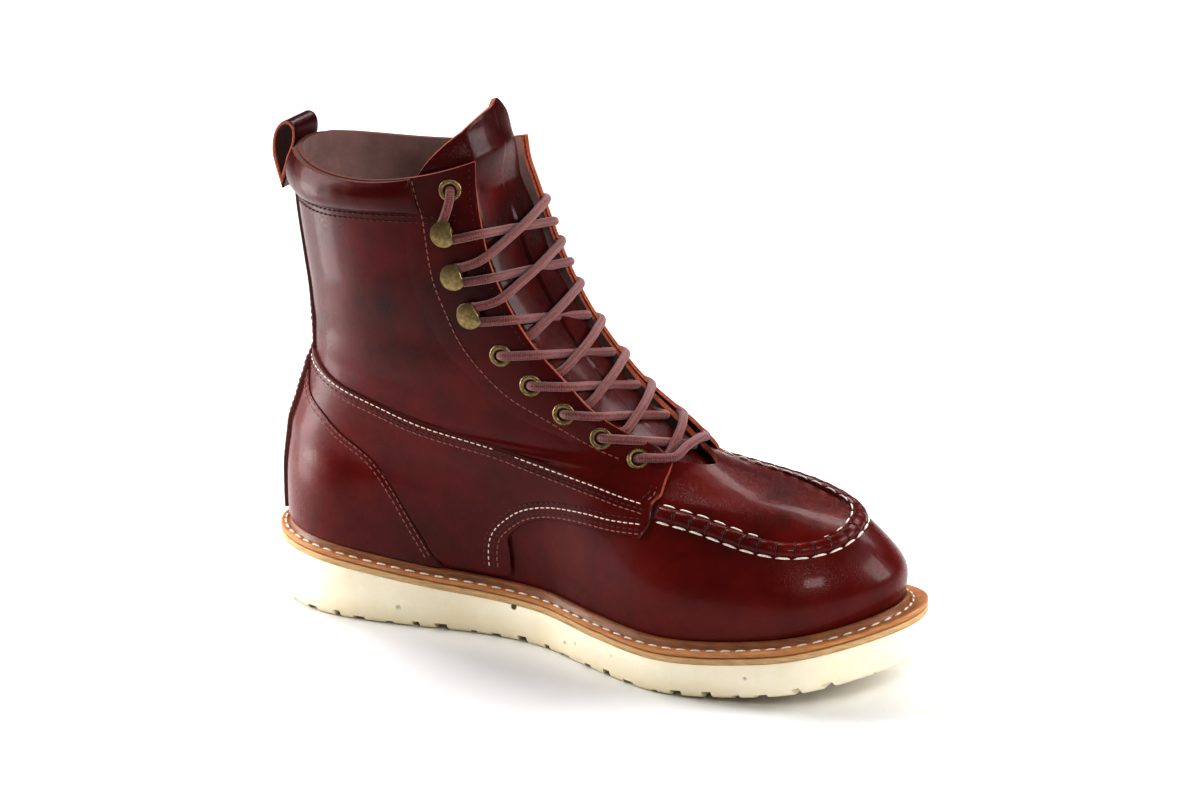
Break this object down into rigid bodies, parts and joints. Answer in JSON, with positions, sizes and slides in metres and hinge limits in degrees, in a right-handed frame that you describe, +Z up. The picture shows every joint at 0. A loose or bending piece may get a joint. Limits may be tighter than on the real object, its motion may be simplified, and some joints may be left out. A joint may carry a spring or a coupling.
{
  "type": "work boot",
  "caption": "Single left work boot: eight inch laced leather shaft with moc toe on a cream wedge sole.",
  "frame": {"origin": "under the middle of the boot's box, on the floor it stands on", "axes": "+X towards the toe, +Y towards the outer (lateral) side of this left boot, +Z up"},
  "size_m": [0.306, 0.1088, 0.231],
  "materials": {
    "wedge_rubber": "matte cream crepe-like rubber",
    "welt_leather": "waxed tan edge",
    "lining": "soft brown lining",
    "upper_leather": "glossy oiled oxblood leather",
    "old_brass": "antiqued brass",
    "lace_cord": "round woven mauve-brown cord"
  },
  "bodies": {
    "root": {"outsole": "wedge_rubber", "midsole": "welt_leather", "welt": "welt_leather", "insole": "lining", "upper": "upper_leather", "heel_counter": "upper_leather", "saddle_medial": "upper_leather", "saddle_lateral": "upper_leather", "back_strap": "upper_leather", "pull_loop": "upper_leather", "collar_roll": "upper_leather", "toe_seam": "upper_leather", "tongue": "upper_leather", "eyelet_medial_1": "old_brass", "eyelet_medial_2": "old_brass", "eyelet_medial_3": "old_brass", "eyelet_medial_4": "old_brass", "eyelet_medial_5": "old_brass", "eyelet_medial_6": "old_brass", "eyelet_lateral_1": "old_brass", "eyelet_lateral_2": "old_brass", "eyelet_lateral_3": "old_brass", "eyelet_lateral_4": "old_brass", "eyelet_lateral_5": "old_brass", "eyelet_lateral_6": "old_brass", "hook_medial_1": "old_brass", "hook_medial_2": "old_brass", "hook_medial_3": "old_brass", "hook_lateral_1": "old_brass", "hook_lateral_2": "old_brass", "hook_lateral_3": "old_brass", "lace_bar": "lace_cord", "lace_crossing_1": "lace_cord", "lace_crossing_2": "lace_cord", "lace_crossing_3": "lace_cord", "lace_crossing_4": "lace_cord", "lace_crossing_5": "lace_cord", "lace_crossing_6": "lace_cord", "lace_crossing_7": "lace_cord", "lace_end_medial": "lace_cord", "lace_end_lateral": "lace_cord"}
  },
  "joints": []
}
